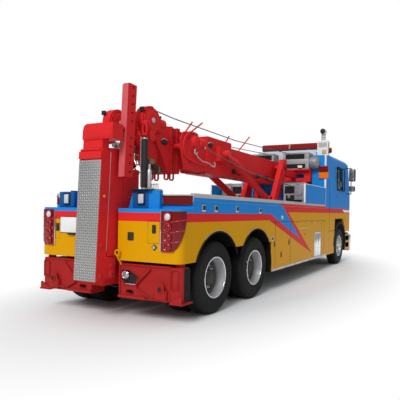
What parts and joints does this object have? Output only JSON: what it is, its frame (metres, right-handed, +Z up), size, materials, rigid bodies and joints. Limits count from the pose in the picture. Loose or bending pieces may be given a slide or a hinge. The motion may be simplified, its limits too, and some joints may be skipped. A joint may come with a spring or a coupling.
{
  "type": "heavy recovery truck",
  "caption": "Three-axle heavy tow truck with tilt cab, side lockers, telescopic boom on a tower, twin sheave heads, winches, folding underlift and rear stabilisers.",
  "frame": {"origin": "on the ground under the middle of the truck's bounding box", "axes": "+X forward, +Y to the truck's left, +Z up"},
  "size_m": [9.8291, 2.9, 3.7369],
  "materials": {
    "blue_paint": "gloss",
    "red_paint": "gloss",
    "yellow_paint": "gloss",
    "black_steel": "satin",
    "tyre": "matt",
    "silver_rim": "satin",
    "bright_metal": "brushed",
    "panel_blue": "gloss",
    "panel_yellow": "gloss",
    "winch_grey": "satin",
    "glass": "clear",
    "lamp_red": "gloss",
    "cab_trim": "matt",
    "black_plastic": "satin",
    "white_plastic": "gloss"
  },
  "bodies": {
    "chassis": {"chassis_frame": "black_steel", "front_axle": "black_steel", "rear_axles": "black_steel", "springs": "black_steel", "driveline": "winch_grey", "bumper": "yellow_paint", "cab_skirts": "panel_yellow", "front_mudguards": "black_plastic", "side_bodies": "panel_yellow", "deck": "panel_blue", "rear_boxes": "panel_yellow", "lamps": "lamp_red", "trim": "bright_metal", "pylons": "panel_blue", "intake_duct": "white_plastic", "boom_tower": "red_paint", "winches": "winch_grey", "underlift_mast": "red_paint", "outrigger_beams": "red_paint"},
    "cab": {"cab_shell": "blue_paint", "windscreen": "glass", "cab_interior": "cab_trim", "grille": "black_plastic", "mirrors": "black_plastic", "light_bar": "lamp_red"},
    "door_left": {"door_left": "blue_paint", "door_glass_left": "glass"},
    "door_right": {"door_right": "blue_paint", "door_glass_right": "glass"},
    "steer_left": {"knuckle_left": "black_steel"},
    "wheel_front_left": {"front_tyre_left": "tyre", "front_rim_left": "silver_rim"},
    "steer_right": {"knuckle_right": "black_steel"},
    "wheel_front_right": {"front_tyre_right": "tyre", "front_rim_right": "silver_rim"},
    "wheels_rearmost_left": {"rearmost_tyres_left": "tyre", "rearmost_rims_left": "silver_rim"},
    "wheels_rearmost_right": {"rearmost_tyres_right": "tyre", "rearmost_rims_right": "silver_rim"},
    "wheels_leading_left": {"leading_tyres_left": "tyre", "leading_rims_left": "silver_rim"},
    "wheels_leading_right": {"leading_tyres_right": "tyre", "leading_rims_right": "silver_rim"},
    "boom": {"boom_outer": "red_paint"},
    "boom_inner": {"boom_inner": "red_paint"},
    "sheave_head_left": {"sheave_head_left": "red_paint"},
    "sheave_head_right": {"sheave_head_right": "red_paint"},
    "lift_barrels": {"lift_barrels": "red_paint"},
    "lift_rods": {"lift_rods": "bright_metal"},
    "carriage": {"underlift_carriage": "red_paint"},
    "stinger": {"stinger": "red_paint"},
    "stinger_inner": {"stinger_inner": "red_paint"},
    "crossbar": {"crossbar": "red_paint"},
    "outrigger_leg_left": {"outrigger_leg_left": "red_paint"},
    "outrigger_leg_right": {"outrigger_leg_right": "red_paint"}
  },
  "joints": [
    {"name": "cab_tilt", "type": "hinge", "parent": "chassis", "child": "cab", "pos_m": [4.66, 0, 0.8], "axis": [0, 1, 0], "range_deg": [0, 45]},
    {"name": "door_left_hinge", "type": "hinge", "parent": "cab", "child": "door_left", "pos_m": [4.066, 1.245, 2.1], "axis": [0, 0, -1], "range_deg": [0, 70]},
    {"name": "door_right_hinge", "type": "hinge", "parent": "cab", "child": "door_right", "pos_m": [4.066, -1.245, 2.1], "axis": [0, 0, 1], "range_deg": [0, 70]},
    {"name": "steer_left_kingpin", "type": "hinge", "parent": "chassis", "child": "steer_left", "pos_m": [3.525, 0.9, 0.525], "axis": [0, 0, 1], "range_deg": [-35, 35]},
    {"name": "wheel_front_left_spin", "type": "hinge", "parent": "steer_left", "child": "wheel_front_left", "pos_m": [3.525, 1.09, 0.525], "axis": [0, 1, 0], "continuous": true},
    {"name": "steer_right_kingpin", "type": "hinge", "parent": "chassis", "child": "steer_right", "pos_m": [3.525, -0.9, 0.525], "axis": [0, 0, 1], "range_deg": [-35, 35]},
    {"name": "wheel_front_right_spin", "type": "hinge", "parent": "steer_right", "child": "wheel_front_right", "pos_m": [3.525, -1.09, 0.525], "axis": [0, 1, 0], "continuous": true},
    {"name": "wheels_rearmost_left_spin", "type": "hinge", "parent": "chassis", "child": "wheels_rearmost_left", "pos_m": [-3.635, 0.915, 0.525], "axis": [0, 1, 0], "continuous": true},
    {"name": "wheels_rearmost_right_spin", "type": "hinge", "parent": "chassis", "child": "wheels_rearmost_right", "pos_m": [-3.635, -0.915, 0.525], "axis": [0, 1, 0], "continuous": true},
    {"name": "wheels_leading_left_spin", "type": "hinge", "parent": "chassis", "child": "wheels_leading_left", "pos_m": [-2.315, 0.915, 0.525], "axis": [0, 1, 0], "continuous": true},
    {"name": "wheels_leading_right_spin", "type": "hinge", "parent": "chassis", "child": "wheels_leading_right", "pos_m": [-2.315, -0.915, 0.525], "axis": [0, 1, 0], "continuous": true},
    {"name": "boom_lift", "type": "hinge", "parent": "chassis", "child": "boom", "pos_m": [1.02, 0, 2.6], "axis": [0, 1, 0], "range_deg": [0, 50]},
    {"name": "boom_extend", "type": "slide", "parent": "boom", "child": "boom_inner", "axis": [-1, 0, 0], "range_m": [0, 0.873]},
    {"name": "sheave_head_left_swivel", "type": "hinge", "parent": "boom_inner", "child": "sheave_head_left", "pos_m": [-3.95, 0.3, 2.77], "axis": [1, 0, 0], "range_deg": [-70, 70]},
    {"name": "sheave_head_right_swivel", "type": "hinge", "parent": "boom_inner", "child": "sheave_head_right", "pos_m": [-3.95, -0.3, 2.77], "axis": [1, 0, 0], "range_deg": [-70, 70]},
    {"name": "lift_barrels_swing", "type": "hinge", "parent": "chassis", "child": "lift_barrels", "pos_m": [0.03, 0, 1.78], "axis": [0, 1, 0], "range_deg": [0, 52]},
    {"name": "lift_rods_slide", "type": "slide", "parent": "lift_barrels", "child": "lift_rods", "axis": [-0.9244, 0, 0.3815], "range_m": [0, 1.1]},
    {"name": "underlift_lift", "type": "slide", "parent": "chassis", "child": "carriage", "axis": [0, 0, 1], "range_m": [-0.25, 0.45]},
    {"name": "stinger_fold", "type": "hinge", "parent": "carriage", "child": "stinger", "pos_m": [-4.62, 0, 0.62], "axis": [0, -1, 0], "range_deg": [0, 92.7]},
    {"name": "stinger_extend", "type": "slide", "parent": "stinger", "child": "stinger_inner", "axis": [0.0471, 0, 0.9989], "range_m": [0, 1]},
    {"name": "crossbar_swing", "type": "hinge", "parent": "stinger_inner", "child": "crossbar", "pos_m": [-4.47391, -0.305, 2.55026], "axis": [-0.9989, 0, 0.0471], "range_deg": [0, 90]},
    {"name": "outrigger_left_jack", "type": "slide", "parent": "chassis", "child": "outrigger_leg_left", "axis": [0, 0, -1], "range_m": [0, 0.27]},
    {"name": "outrigger_right_jack", "type": "slide", "parent": "chassis", "child": "outrigger_leg_right", "axis": [0, 0, -1], "range_m": [0, 0.27]}
  ],
  "couplings": [
    {"joint": "steer_right_kingpin", "follows": "steer_left_kingpin", "ratio": 1},
    {"joint": "boom_extend", "follows": "boom_lift", "m_per_rad": 1},
    {"joint": "lift_barrels_swing", "follows": "boom_lift", "ratio": 1.0202},
    {"joint": "lift_rods_slide", "follows": "boom_lift", "m_per_rad": 1.244}
  ]
}
